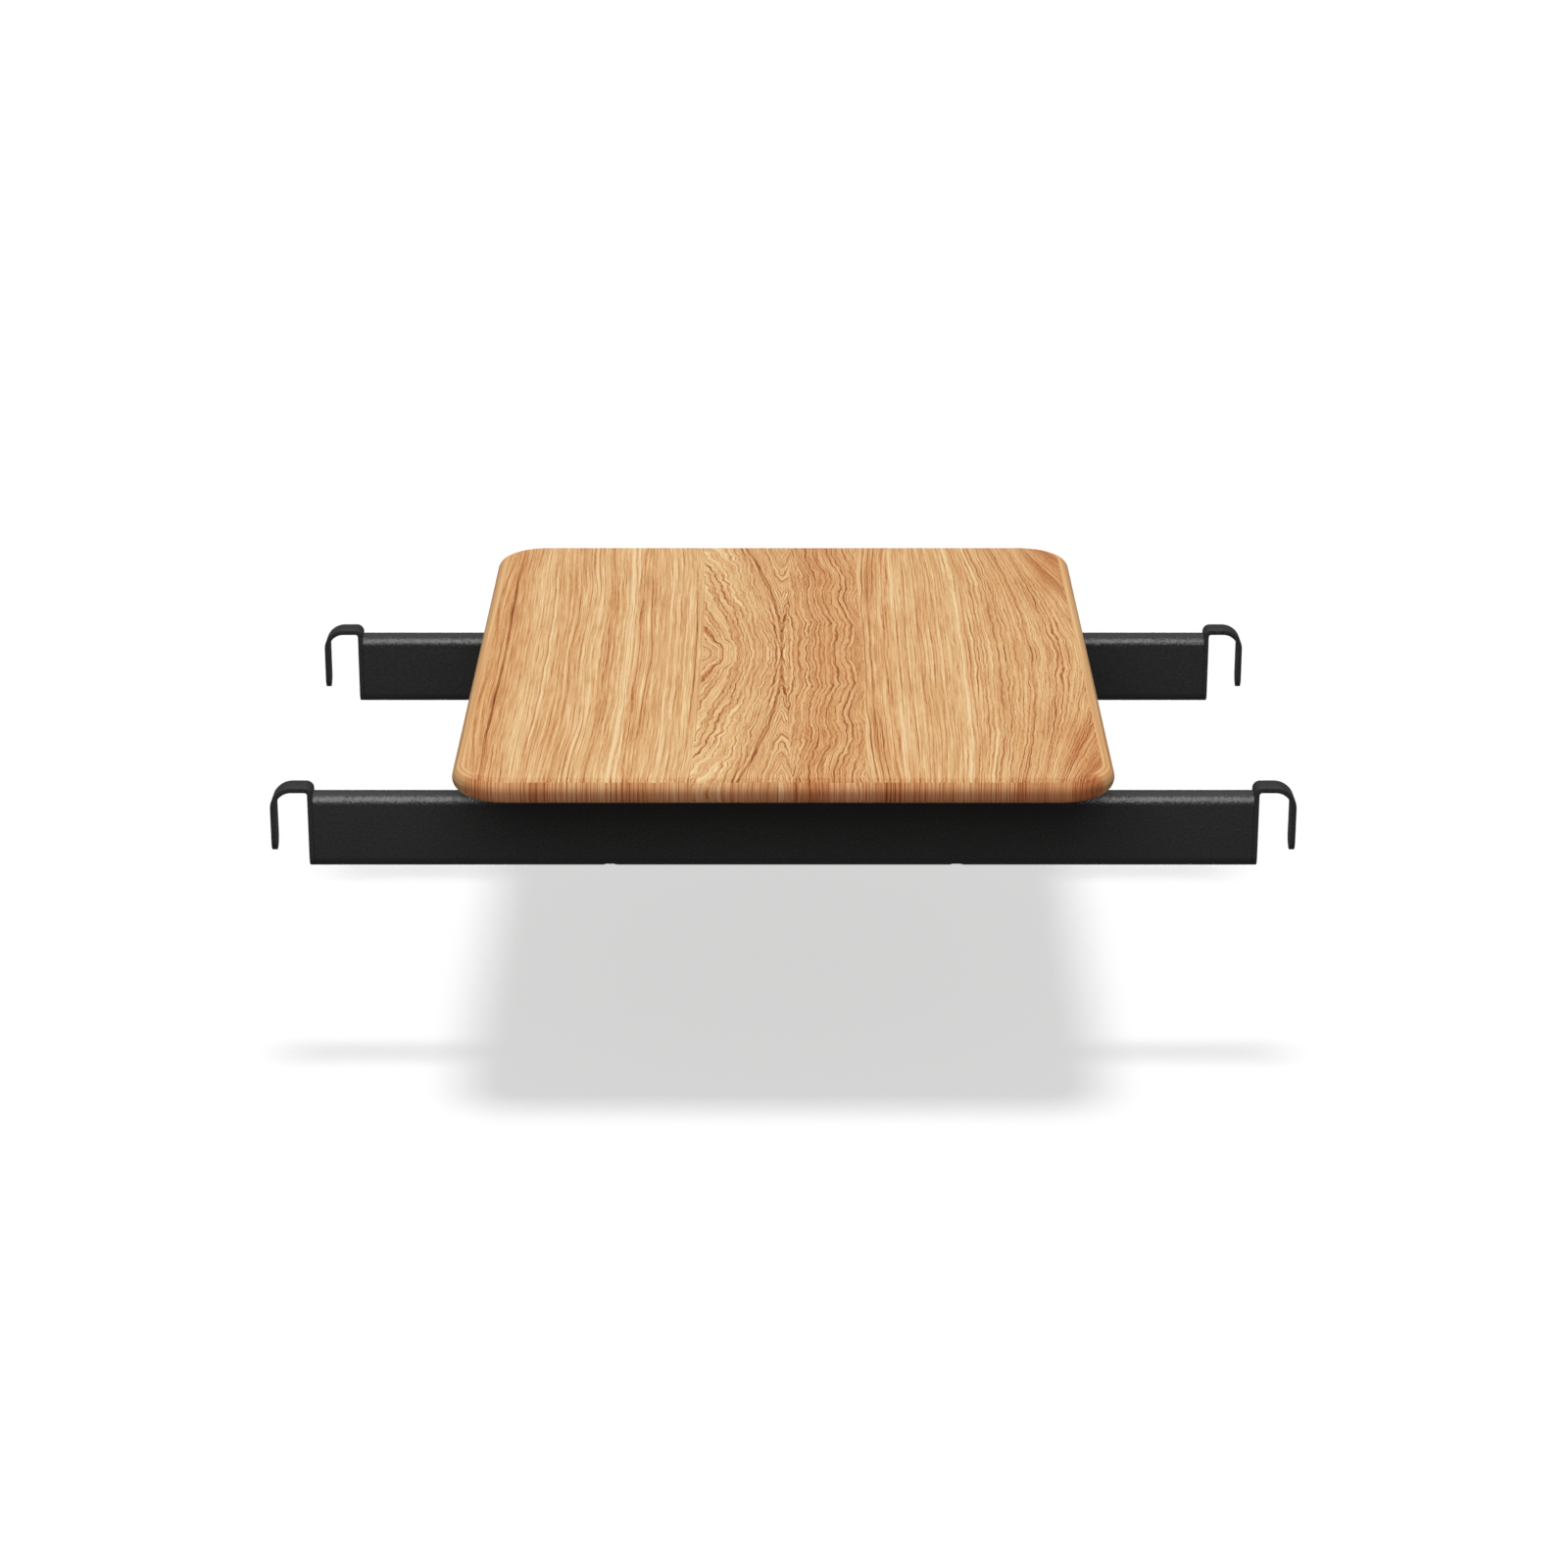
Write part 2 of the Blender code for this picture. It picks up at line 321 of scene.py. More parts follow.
def oak_ring_coordinate(graph, x, y):
    """Millimetres across the rings and from the boldest line, the staves, and how lively they are."""
    # The figure is the same to the front and to the back, and passes smoothly over the middle
    ahead = (y * y + 60.0).root()
    reach = ahead / HALF_DEPTH
    bow = reach * reach
    second = (x + bow * 5.0) > -69.5
    third = (x - bow * 5.0) > 2.5
    fourth = (x + bow * 4.0) > 68.5
    lively = second - fourth + fourth * graph.ease(x, 130.0, 215.0, 0.0, 0.8)

    slow = graph.noise(graph.vector(x * 0.014, ahead * 0.0060, fourth * 4.7), 1.0, 1.0) - 0.5
    wave = graph.noise(graph.vector(x * 0.05, ahead * 0.040, third * 3.1), 1.0, 1.0) - 0.5
    shake = graph.noise(graph.vector(x * 0.35, ahead * 0.13, 9.0), 1.0, 2.0, 0.6) - 0.5
    shaken = (slow * (lively * 6.0 + 7.0) + wave * (lively * 6.0 + 0.9)
              + shake * (lively * 1.7 + 0.45))

    # The second stave's arches spring from its left joint. Towards its right joint the rings
    # crowd, and in the last few millimetres they turn back, which makes a row of small Vs
    folded = abs(x + 1.5) * -1.0 - 1.5
    from_left = folded + 69.0
    spring = reach.power(1.6) * 2627.0
    from_heart = (from_left + (from_left * from_left + spring * 4.0).root()) * 0.5
    crowd = graph.ease(folded, -42.0, -1.5) * ahead * 0.075
    bold = folded + 2.0 + reach.power(2.2) * 35.0 + shaken * 0.45
    sway = graph.maths_of("SINE", ahead / 23.0 + 1.2) * 2.6
    straight = x - graph.ease(x, -262.0, -200.0, 9.0, 0.0) * bow * reach + bow * 5.0
    wavy = x + reach.power(1.6) * 15.0 + sway * graph.ease(x, 6.0, 24.0) + THIRD_STAVE
    arched = (x + FOURTH_STAVE - graph.ease(x, 66.0, 110.0, 6.0, 0.0) * bow
              + graph.ease(x, 110.0, 190.0, 0.0, 17.0) * bow
              + graph.ease(x, 175.0, 262.0, 0.0, 64.0) * bow * reach)
    ring = straight + (from_heart + crowd + SECOND_STAVE - straight) * second
    ring = ring + (wavy - ring) * third
    ring = ring + (arched - ring) * fourth
    return ring + shaken, bold, ahead, (second, third, fourth), lively


# %% [markdown]
# The tone is built up like the wood itself, from things that follow the rings. Thin dark late
# wood closes each ring, and every ring has its own strength. Broad bands, narrow stripes and
# hair-fine fibres run along, and short dark pores are sprinkled between.

# %% Oak: rings, streaks and pores
RING_WIDTH = 3.9                # millimetres


def oak_streaks(graph, ring, ahead, x, z):
    """Late wood, bands, stripes, fibres and pores, each as a number from 0 to 1."""
    drift = graph.noise(graph.vector(ring * 0.05, ahead * 0.002, 5.0), 1.0, 2.0) * 5.0
    phase = ring / RING_WIDTH + drift
    within = phase.fraction()
    strength = graph.random(phase.floor())
    late_edge = graph.ease(within, 0.58, 0.86) * graph.ease(within, 0.90, 1.0, 1.0, 0.0)
    broken = graph.noise(graph.vector(x * 0.9, ahead * 0.05, 2.0), 1.0, 2.0, 0.7)
    rings = late_edge * (strength * 0.65 + 0.35) * graph.ease(broken, 0.25, 0.55)
    bands = graph.noise(graph.vector(ring * 0.035, ahead * 0.0014, 11.0), 1.0, 2.0, 0.5)
    stripes = graph.noise(graph.vector(ring * 0.60, ahead * 0.004, z * 0.02), 1.0, 3.0, 0.75)
    fibres = graph.noise(graph.vector(ring * 1.3, ahead * 0.018, z * 0.2), 1.0, 2.0, 0.7)
    pores = graph.noise(graph.vector(x * 1.3, ahead * 0.10, z * 0.6), 1.0, 2.0, 0.7)
    return rings, bands, stripes, fibres, graph.ease(pores, 0.53, 0.68)


# %% [markdown]
# A panel is remembered by its few bold lines: dark ones, also along the glue joints, and pale
# ones. Each is a place on the ring coordinate, so it bends with the grain. Only the boldest pair
# follows a curve of its own. Some places, such as the third stave, are redder than the rest.

# %% Oak: bold lines and redder places
# Place on the coordinate, half width in millimetres, and how much darker (below zero: paler)
MAIN_LINES = [
    # First stave, on the left
    (-240.0, 1.8, 0.34), (-232.0, 1.0, 0.16), (-185.0, 1.6, -0.14), (-151.0, 1.2, 0.20),
    (-133.0, 3.0, -0.14), (-92.0, 2.2, -0.16), (-75.0, 1.4, 0.24), (-70.0, 1.2, 0.24),
    # Third stave, just right of the middle
    (304.0, 1.0, 0.30), (307.0, 1.6, -0.12), (345.0, 1.4, 0.14), (356.0, 1.6, 0.12),
    (362.0, 1.4, 0.14),
    # Fourth stave, on the right
    (569.5, 1.2, 0.28), (574.5, 1.3, 0.20), (596.0, 2.2, -0.14), (637.0, 2.0, -0.14),
    (655.0, 2.8, -0.20), (684.0, 1.8, 0.30), (690.0, 1.0, 0.18), (712.0, 1.6, 0.26),
]
BOLDEST_LINES = [(0.0, 2.0, 0.40), (-5.0, 1.3, 0.28)]


def darkened(graph, tone, coordinate, lines, mask=1.0):
    """Takes each line off the tone, softly towards its edges."""
    for place, half_width, depth in lines:
        line = graph.ease(abs(coordinate - place), half_width * 0.25, half_width, depth, 0.0)
        tone = tone - line * mask
    return tone


def oak_redness(graph, x, ahead, fourth):
    """How red the oak is, from 0 in most places to about 1.5 in the right-hand corners."""
    third_stave = graph.ease(x, 6.0, 30.0, 0.0, 0.85) * (1 - fourth)
    left_edge = graph.ease(x, -248.0, -212.0, 0.9, 0.0)
    right_corners = graph.ease(x, 205.0, 240.0) * graph.ease(ahead, 130.0, 230.0, 0.35, 1.5)
    return third_stave + left_edge + right_corners


# %% [markdown]
# The nose is cut differently. Round the sides the grain lies along it. At the front and back the
# cutter went across the fibres, and the oil soaks in there and darkens them. That end grain shows
# from where the nose has turned about 35 degrees away from the top. Towards the nose's underside its
# warmer, darker cast is made stronger as painted shade, and where the nose starts to turn down at
# the front and back it is painted a little darker: painted shade.

# %% Oak: the nose
END_GRAIN_FROM = 0.57           # share of the nose's width, which is the sine of that angle


def oak_nose(graph, x, y):
    """How far out on the nose a point lies (0 to 1), and how squarely it faces front or back."""
    corner = DECK_CORNER_RADIUS / MM
    beyond_x = (abs(x) - (HALF_WIDTH - corner)).larger(0.0)
    beyond_y = (abs(y) - (HALF_DEPTH - corner)).larger(0.0)
    from_corner = (beyond_x * beyond_x + beyond_y * beyond_y).root()
    outwards = (from_corner - (corner - NOSE)) / NOSE
    return outwards, graph.ease(beyond_y / (from_corner + 0.001), 0.55, 0.80)


# %% [markdown]
# All of it adds up to one tone, from dark to pale, and a colour ramp turns the tone into oak.

# %% Oak: the finish
OAK_STOPS = [
    (0.00, tint(136, 72, 36)),
    (0.20, tint(178, 112, 66)),
    (0.42, tint(207, 150, 96)),
    (0.60, tint(223, 176, 121)),
    (0.80, tint(235, 197, 143)),
    (1.00, tint(246, 217, 171)),
]


def oak():
    """The deck's finish, from the plan position and, on the nose, from the height too."""
    graph = Graph("oiled_oak")
    x, y, z = graph.place()
    ring, bold, ahead, (second, third, fourth), lively = oak_ring_coordinate(graph, x, y)
    rings, bands, stripes, fibres, speckle = oak_streaks(graph, ring, ahead, x, z)
    reddish = oak_redness(graph, x, ahead, fourth)

    # The top and the underside
    tone = 0.70 + (bands - 0.5) * 0.40 + (stripes - 0.5) * 1.20 + (fibres - 0.5) * 1.45
    tone = tone - (stripes - 0.5) * lively * 0.35
    tone = tone - rings * (lively * 0.32 + 0.30) - speckle * (lively * 0.10 + 0.10)
    tone = darkened(graph, tone, ring, MAIN_LINES)
    tone = darkened(graph, tone, bold, BOLDEST_LINES, second - third)
    pale = graph.noise(graph.vector(ring * 0.24, ahead * 0.0016, 31.0), 1.0, 1.0)
    tone = tone + graph.ease(pale, 0.60, 0.68) * 0.18 * (1 - lively * 0.6)
    tone = tone - reddish * 0.12

    # The nose
    outwards, faces_end = oak_nose(graph, x, y)
    on_nose = outwards > 0.0
    turned_over = outwards > END_GRAIN_FROM
    end_grain = turned_over * faces_end
    side_band = on_nose * (1 - faces_end)
    around = outwards * 9.0 - z * 0.8
    laid = graph.noise(graph.vector(around * 0.42, y * 0.003, 17.0), 1.0, 3.0, 0.6)
    side_tone = 0.70 + (laid - 0.5) * 1.3 - speckle * 0.05
    cut = graph.noise(graph.vector(ring * 0.95, 3.0, z * 0.012), 1.0, 3.0, 0.8)
    hair = graph.noise(graph.vector(ring * 1.9, 8.0, z * 0.03), 1.0, 1.0)
    cut_tone = (0.66 + (cut - 0.5) * 2.2 + (hair - 0.5) * 0.8 + (bands - 0.5) * 1.1
                - rings * 0.45 - reddish * 0.12)
    # Painted shade: at the front and back, the top few millimetres of the end grain and the band of nose
    # above it are darkened
    cut_tone = cut_tone - graph.ease(z, DECK_TOP - 5.0, DECK_TOP - 2.0, 0.0, 0.08)
    tone = tone - (on_nose - turned_over) * faces_end * 0.12
    tone = tone + (cut_tone - tone) * end_grain + (side_tone - tone) * side_band

    # From tone to colour, with a warmer cast on the end grain, where oil soaked in, and where the wood
    # is red
    colour = graph.ramp(tone, OAK_STOPS)
    # Painted shade: on the end grain the warm, darker cast grows stronger towards the bottom of the nose
    soaked_and_shaded = end_grain * graph.ease(z, DECK_TOP - 12.0, DECK_TOP - 1.0, 1.0, 0.35)
    colour = graph.blend(soaked_and_shaded, colour, tint(255, 220, 217), "MULTIPLY")
    ruddy = graph.ease(bands, 0.30, 0.60, 0.30, 0.0) + reddish * 0.5 + rings * 0.8
    colour = graph.blend(ruddy.smaller(1.0), colour, tint(250, 232, 222), "MULTIPLY")
    relief = graph.bump(fibres * 0.6 + stripes * 0.5 - speckle * 0.6, 0.10 * MM, 0.5)
    graph.set(Base_Color=colour, Roughness=0.52 + (fibres - 0.5) * 0.16 + speckle * 0.08,
              Normal=relief, Specular_IOR_Level=0.25)
    return graph.material


oak_material = oak()
print("oak nodes:", len(oak_material.node_tree.nodes))

# %% [markdown]
# ## Powder coat, black oxide and brass
#
# Powder coat isn't smooth. The melted grains leave fine grit, dimples about a millimetre wide and
# a wavy skin like orange peel, which break a highlight into sparkle, and the gloss drifts slowly
# from place to place. One noise stands for each of the four. The bolts are black-oxide steel with
# faint turning marks, and the inserts are plain brass.

# %% Metal finishes
COAT_STOPS = [(0.30, tint(34, 34, 34)), (0.70, tint(48, 48, 47))]


def powder_coat():
    """The frame's finish."""
    graph = Graph("black_powder_coat")
    x, y, z = graph.place()
    place = graph.vector(x, y, z)
    dimples = graph.noise(place, 0.95, 3.0, 0.6)
    grit = graph.noise(place, 2.6, 1.0, 0.5)
    cloud = graph.noise(place, 0.03, 2.0, 0.5)
    orange_peel = graph.noise(place, 0.38, 2.0, 0.6)
    shade = graph.ramp(dimples * 0.6 + grit * 0.4, COAT_STOPS)
    roughness = 0.32 + (cloud - 0.5) * 0.08 + (grit - 0.5) * 0.16 + (orange_peel - 0.5) * 0.50
    relief = graph.bump(dimples + grit * 0.35 + orange_peel * 6.0, 0.09 * MM, 0.8)
    graph.set(Base_Color=shade, Roughness=roughness, Normal=relief, Specular_IOR_Level=0.70)
    return graph.material


def turned_metal(name, dark, light, roughness):
    """Bare metal from the lathe: faint rings of tone along the axis and a little unevenness."""
    graph = Graph(name)
    x, y, z = graph.place()
    marks = graph.noise(graph.vector(x * 0.1, y * 0.1, z * 6.0), 1.0, 2.0, 0.6)
    cloud = graph.noise(graph.vector(x, y, z), 0.35, 3.0, 0.6)
    colour = graph.ramp(marks * 0.5 + cloud * 0.5, [(0.35, dark), (0.65, light)])
    relief = graph.bump(marks, 0.03 * MM, 0.4)
    graph.set(Base_Color=colour, Metallic=1.0, Roughness=roughness + (cloud - 0.5) * 0.2, Normal=relief)
    return graph.material


coat_material = powder_coat()
bolt_material = turned_metal("black_oxide_steel", tint(46, 46, 50), tint(66, 66, 70), 0.38)
brass_material = turned_metal("turned_brass", tint(176, 138, 70), tint(206, 170, 98), 0.32)
print("metal finishes:", coat_material.name, bolt_material.name, brass_material.name)

# %% [markdown]
# ## Geometry Nodes from a script
#
# A piece whose shape follows a rule is best said as that rule. A small builder adds nodes and
# links by name, gives the tree named inputs, and turns the evaluated result into a plain mesh, so
# nothing live is left on the finished piece.

# %% Geometry Nodes helper
FLOAT, INTEGER = "NodeSocketFloat", "NodeSocketInt"
DRILL_SIDES = 48


class Recipe:
    """A Geometry Nodes tree with named inputs."""

    def __init__(self, name, inputs):
        self.tree = bpy.data.node_groups.new(name, "GeometryNodeTree")
        self.inputs = {}
        for label, kind in inputs.items():
            socket = self.tree.interface.new_socket(label, in_out="INPUT", socket_type=kind)
            self.inputs[label] = socket.identifier
        self.tree.interface.new_socket("Geometry", in_out="OUTPUT", socket_type="NodeSocketGeometry")
        self.entry = self.tree.nodes.new("NodeGroupInput")
        self.exit = self.tree.nodes.new("NodeGroupOutput")

    def given(self, label):
        return self.entry.outputs[label]

    def add(self, kind, settings=None, **sockets):
        """Adds a node; sockets are numbers, vectors, links or lists of links, by name."""
        made = self.tree.nodes.new(kind)
        for key, value in (settings or {}).items():
            setattr(made, key, value)
        for key, value in sockets.items():
            target = Graph.enabled(made.inputs, key.replace("_", " "))
            for one in value if isinstance(value, list) else [value]:
                self.plug(target, one)
        return made

    def plug(self, target, value):
        if isinstance(value, bpy.types.Node):
            value = next(s for s in value.outputs if s.enabled)
        if isinstance(value, bpy.types.NodeSocket):
            self.tree.links.new(value, target)
        else:
            target.default_value = value

    def maths(self, operation, first, second=0.0):
        made = self.tree.nodes.new("ShaderNodeMath")
        made.operation = operation
        self.plug(made.inputs[0], first)
        self.plug(made.inputs[1], second)
        return made

    def vector(self, x=0.0, y=0.0, z=0.0):
        return self.add("ShaderNodeCombineXYZ", X=x, Y=y, Z=z)

    def close(self, geometry, material):
        """Ends the tree: instances become real, and the finish goes on."""
        real = self.add("GeometryNodeRealizeInstances", Geometry=geometry)
        coated = self.add("GeometryNodeSetMaterial", Geometry=real, Material=material)
        self.plug(self.exit.inputs[0], coated)

    def make(self, name, values, shift=(0.0, 0.0, 0.0), sharp_above=30):
        """A plain mesh object from this tree, with its place in its mesh."""
        seed = bpy.data.objects.new(name, bpy.data.meshes.new(name))
        bpy.context.scene.collection.objects.link(seed)
        modifier = seed.modifiers.new("recipe", "NODES")
        modifier.node_group = self.tree
        for label, value in values.items():
            modifier[self.inputs[label]] = value
        bpy.context.view_layer.update()
        graph = bpy.context.evaluated_depsgraph_get()
        mesh = bpy.data.meshes.new_from_object(seed.evaluated_get(graph))
        bpy.data.objects.remove(seed)
        mesh.transform(Matrix.Translation(shift))
        mesh.shade_smooth()
        mesh.set_sharp_from_angle(angle=math.radians(sharp_above))
        piece = bpy.data.objects.new(name, mesh)
        bpy.context.scene.collection.objects.link(piece)
        print(f"{name}: {len(mesh.vertices)} vertices, {len(mesh.polygons)} faces")
        return piece


def settle(piece, slot, *nodes):
    """The piece rides on the one rigid body and stands for CAD nodes. Its slot is not used."""
    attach(piece, "root")
    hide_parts(*nodes)


# %% [markdown]
# ## The deck
#
# A joiner would cut the panel to its outline and run a round-over cutter along both edges. The
# recipe does the same: a rectangle with filleted corners is the path, half a circle swept along it
# is the nose, and two filled outlines are the faces. Four blind pockets are then bored from below
# for the threaded inserts.

# %% Deck


def deck_recipe():
    recipe = Recipe("rounded_panel", {
        "Width": FLOAT, "Depth": FLOAT, "Thickness": FLOAT, "Corner radius": FLOAT,
        "Corner steps": INTEGER, "Nose steps": INTEGER,
        "Pocket radius": FLOAT, "Pocket depth": FLOAT, "Pockets apart": FLOAT, "Rails apart": FLOAT,
    })
    thickness = recipe.given("Thickness")
    nose = recipe.maths("MULTIPLY", thickness, 0.5)
    path = recipe.add("GeometryNodeCurvePrimitiveQuadrilateral",
                      Width=recipe.maths("SUBTRACT", recipe.given("Width"), thickness),
                      Height=recipe.maths("SUBTRACT", recipe.given("Depth"), thickness))
    outline = recipe.add("GeometryNodeFilletCurve", {"mode": "POLY"}, Curve=path,
                         Count=recipe.given("Corner steps"),
                         Radius=recipe.maths("SUBTRACT", recipe.given("Corner radius"), nose))
    half_circle = recipe.add("GeometryNodeCurveArc", {"mode": "RADIUS"}, Radius=nose,
                             Start_Angle=-math.pi / 2, Sweep_Angle=math.pi,
                             Resolution=recipe.given("Nose steps"))
    rim = recipe.add("GeometryNodeCurveToMesh", Curve=outline, Profile_Curve=half_circle)
    face = recipe.add("GeometryNodeFillCurve", {"mode": "NGONS"}, Curve=outline)
    top = recipe.add("GeometryNodeTransform", Geometry=face, Translation=recipe.vector(z=nose))
    down = recipe.vector(z=recipe.maths("MULTIPLY", nose, -1.0))
    under = recipe.add("GeometryNodeTransform", Geometry=face, Translation=down)
    turned_over = recipe.add("GeometryNodeFlipFaces", Mesh=under)
    skin = recipe.add("GeometryNodeJoinGeometry", Geometry=[rim, top, turned_over])
    panel = recipe.add("GeometryNodeMergeByDistance", Geometry=skin, Distance=WELD_DISTANCE)
    depth = recipe.given("Pocket depth")
    drill = recipe.add("GeometryNodeMeshCylinder", Vertices=DRILL_SIDES,
                       Radius=recipe.given("Pocket radius"),
                       Depth=recipe.maths("MULTIPLY", depth, 2.0))      # half of it stays outside
    corners = recipe.add("GeometryNodeMeshGrid", Size_X=recipe.given("Pockets apart"),
                         Size_Y=recipe.given("Rails apart"), Vertices_X=2, Vertices_Y=2)
    copies = recipe.add("GeometryNodeInstanceOnPoints", Points=corners, Instance=drill)
    drills = recipe.add("GeometryNodeRealizeInstances", Geometry=copies)
    lowered = recipe.add("GeometryNodeTransform", Geometry=drills, Translation=down)
    bored = recipe.add("GeometryNodeMeshBoolean", {"operation": "DIFFERENCE"},
                       Mesh_1=panel, Mesh_2=lowered)
    recipe.close(bored, oak_material)
    return recipe


deck = deck_recipe().make("oak_deck", {
    "Width": deck_size.x, "Depth": deck_size.y, "Thickness": deck_size.z,
    "Corner radius": DECK_CORNER_RADIUS, "Corner steps": 40, "Nose steps": 33,
    "Pocket radius": insert_size.x / 2 + CONTACT_GAP, "Pocket depth": insert_size.z + POCKET_SPARE_DEPTH,
    "Pockets apart": post_spacing, "Rails apart": rail_pitch,
}, middle("deck"))
settle(deck, "deck_wood", "deck")

# %% [markdown]
# ## The rails
#
# Flat-oval tube is a drawn section: two half circles joined by flat sides. A rectangle whose
# corners are filleted by half its width is exactly that. It is swept along a straight line, the
# bore is taken out, and so are the holes through both crowns that the posts pass through.

# %% Rails
JUST_UNDER_HALF = 0.4999        # a fillet of exactly half the width would fold over


def rail_recipe():
    recipe = Recipe("flat_oval_tube", {
        "Length": FLOAT, "Height": FLOAT, "Depth": FLOAT, "Wall": FLOAT, "Crown steps": INTEGER,
        "Hole radius": FLOAT, "Holes apart": FLOAT,
    })
    height = recipe.given("Height")
    depth = recipe.given("Depth")
    wall = recipe.maths("MULTIPLY", recipe.given("Wall"), 2.0)

    def bar(tall, deep, length):
        section = recipe.add("GeometryNodeCurvePrimitiveQuadrilateral", Width=deep, Height=tall)
        oval = recipe.add("GeometryNodeFilletCurve", {"mode": "POLY"}, Curve=section,
                          Count=recipe.given("Crown steps"),
                          Radius=recipe.maths("MULTIPLY", deep, JUST_UNDER_HALF))
        half = recipe.maths("MULTIPLY", length, 0.5)
        start = recipe.vector(x=recipe.maths("MULTIPLY", half, -1.0))
        line = recipe.add("GeometryNodeCurvePrimitiveLine", Start=start, End=recipe.vector(x=half))
        return recipe.add("GeometryNodeCurveToMesh", Curve=line, Profile_Curve=oval, Fill_Caps=True)

    length = recipe.given("Length")
    outside = bar(height, depth, length)
    inside = bar(recipe.maths("SUBTRACT", height, wall), recipe.maths("SUBTRACT", depth, wall),
                 recipe.maths("MULTIPLY", length, 1.1))
    drill = recipe.add("GeometryNodeMeshCylinder", Vertices=DRILL_SIDES,
                       Radius=recipe.given("Hole radius"),
                       Depth=recipe.maths("MULTIPLY", height, 1.5))     # goes right through
    places = recipe.add("GeometryNodeMeshGrid", Size_X=recipe.given("Holes apart"), Size_Y=0.0,
                        Vertices_X=2, Vertices_Y=1)
    copies = recipe.add("GeometryNodeInstanceOnPoints", Points=places, Instance=drill)
    drills = recipe.add("GeometryNodeRealizeInstances", Geometry=copies)
    hollow = recipe.add("GeometryNodeMeshBoolean", {"operation": "DIFFERENCE"}, Mesh_1=outside,
                        Mesh_2=[inside, drills])
    recipe.close(hollow, coat_material)
    return recipe


rail_tree = rail_recipe()
for rail in RAILS:
    piece = rail_tree.make(f"{rail}_tube", {
        "Length": tube_size.x, "Height": tube_size.z, "Depth": tube_size.y, "Wall": TUBE_WALL,
        "Crown steps": 24, "Hole radius": post_size.x / 2 - FLANGE_REACH + CONTACT_GAP,
        "Holes apart": post_spacing,
    }, middle(f"{rail}_rail"))
    settle(piece, "black_coat", f"{rail}_rail")

# %% [markdown]
# ## The hooks
#
# Each hook is one length of flat bar, as wide as the rail is deep. One end covers the rail's
# end like a cap, then the bar bends outwards over the host tube and down into a free leg, and both
# ends are rounded off completely. Bending a ribbon by formula and giving it its thickness with
# Solidify keeps the bar's section true through both bends, and a small Bevel breaks its edges.

# %% Hooks
ROUND_END_STEPS = 16
INNER_BEND_STEPS = 16
OUTER_BEND_STEPS = 28


def arc(centre, radius, start, end, steps):
    """Points on a circle between two angles in degrees, both ends included."""
    angles = [math.radians(start + (end - start) * step / steps) for step in range(steps + 1)]
    return [(centre[0] + radius * math.cos(a), centre[1] + radius * math.sin(a)) for a in angles]


def hook_stations(plate_face, leg_face, top):
    """(x, z, half width) down the middle of the bar, for a hook at the right-hand end."""
    half = BAR_THICKNESS / 2
    width = tube_size.y / 2
    plate, leg, bridge = plate_face + half, leg_face - half, top - half
    inner, outer = INNER_BEND + half, OUTER_BEND + half
    angles = [math.pi / 2 * n / ROUND_END_STEPS for n in range(ROUND_END_STEPS + 1)]
    rounding = [(1 - math.cos(a), math.sin(a)) for a in angles]
    stations = [(plate, width * rise, width * spread) for rise, spread in rounding]
    bends = arc((plate + inner, bridge - inner), inner, 180, 90, INNER_BEND_STEPS)
    bends += arc((leg - outer, bridge - outer), outer, 90, 0, OUTER_BEND_STEPS)
    stations += [(x, z, width) for x, z in bends]
    tip = [(leg, LEG_TIP_HEIGHT + width * rise, width * spread) for rise, spread in rounding]
    return stations + tip[::-1]


def bent_bar(name, stations, turned_round, y):
    """A ribbon through the stations, at the right-hand end or turned round to the left-hand one."""
    shape = bmesh.new()
    rows = []
    for x, z, spread in stations:
        offsets = [0.0] if spread < WELD_DISTANCE else [-spread, spread]
        rows.append([shape.verts.new((x, offset, z)) for offset in offsets])
    for low, high in zip(rows, rows[1:]):
        shape.faces.new(low + high[::-1])
    mesh = bpy.data.meshes.new(name)
    shape.to_mesh(mesh)
    shape.free()
    turn = Matrix.Rotation(math.pi if turned_round else 0.0, 4, "Z")
    mesh.transform(Matrix.Translation((0.0, y, 0.0)) @ turn)
    mesh.materials.append(coat_material)
    bar = bpy.data.objects.new(name, mesh)
    bpy.context.scene.collection.objects.link(bar)
    wall = bar.modifiers.new("bar thickness", "SOLIDIFY")
    wall.thickness = BAR_THICKNESS
    wall.offset = 0.0
    wall.use_even_offset = True
    edge = bar.modifiers.new("rounded edges", "BEVEL")
    edge.width = BAR_EDGE_RADIUS
    edge.segments = 3
    edge.limit_method = "ANGLE"
    edge.angle_limit = math.radians(40)
    return bar


def as_plain_mesh(piece, sharp_above=35):
    """Applies a piece's modifiers and shades it smooth, with its sharp edges kept."""
    bpy.context.view_layer.update()
    graph = bpy.context.evaluated_depsgraph_get()
    mesh = bpy.data.meshes.new_from_object(piece.evaluated_get(graph))
    piece.modifiers.clear()
    piece.data = mesh
    mesh.shade_smooth()
    mesh.set_sharp_from_angle(angle=math.radians(sharp_above))
    print(f"{piece.name}: {len(mesh.vertices)} vertices, {len(mesh.polygons)} faces")
    return piece


right_low, right_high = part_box("front_right_hook")
stations = hook_stations(right_low.x, right_high.x, right_high.z)
for corner in CORNERS:
    bar = bent_bar(f"{corner}_bar_hook", stations, corner.endswith("left"), middle(f"{corner}_hook").y)
    settle(as_plain_mesh(bar), "black_coat", f"{corner}_hook")

# %% [markdown]
# ## Posts, bolts and inserts
#
# These are turned parts. A profile of radius and height, run round the axis by the Screw modifier,
# is what a lathe does. A Bevel then rounds the corners the tool leaves. The posts are made that
# way. The bolts and inserts sit deep in them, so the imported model's shapes serve as they are and
# only get their finish.

# %% Turned parts
TURNED_STEPS = 72


